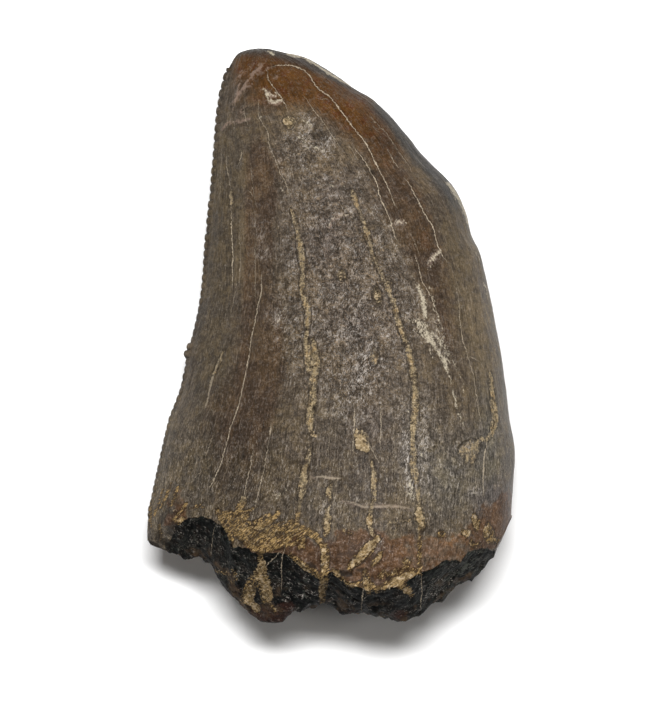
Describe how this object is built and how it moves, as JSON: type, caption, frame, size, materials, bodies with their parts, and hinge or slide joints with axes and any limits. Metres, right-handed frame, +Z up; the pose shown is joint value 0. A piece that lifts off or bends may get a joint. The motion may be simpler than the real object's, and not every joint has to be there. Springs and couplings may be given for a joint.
{
  "type": "fossil tyrannosaur tooth",
  "caption": "Thick, curved fossil tooth crown with a serrated rear edge, a worn apex and a ragged broken base, lying on one side face.",
  "frame": {"origin": "centre of the bounding box in plan, on the surface that the tooth lies on", "axes": "+Y from the broken base to the apex, -X the serrated rear edge, +X the rounded front edge, +Z up out of the side face that shows"},
  "size_m": [0.027, 0.0423, 0.0169],
  "materials": {
    "fossil_enamel": "satin, polished fossil enamel, dark brown, over a rough black fracture at the base"
  },
  "bodies": {
    "root": {"tooth": "fossil_enamel"}
  },
  "joints": []
}
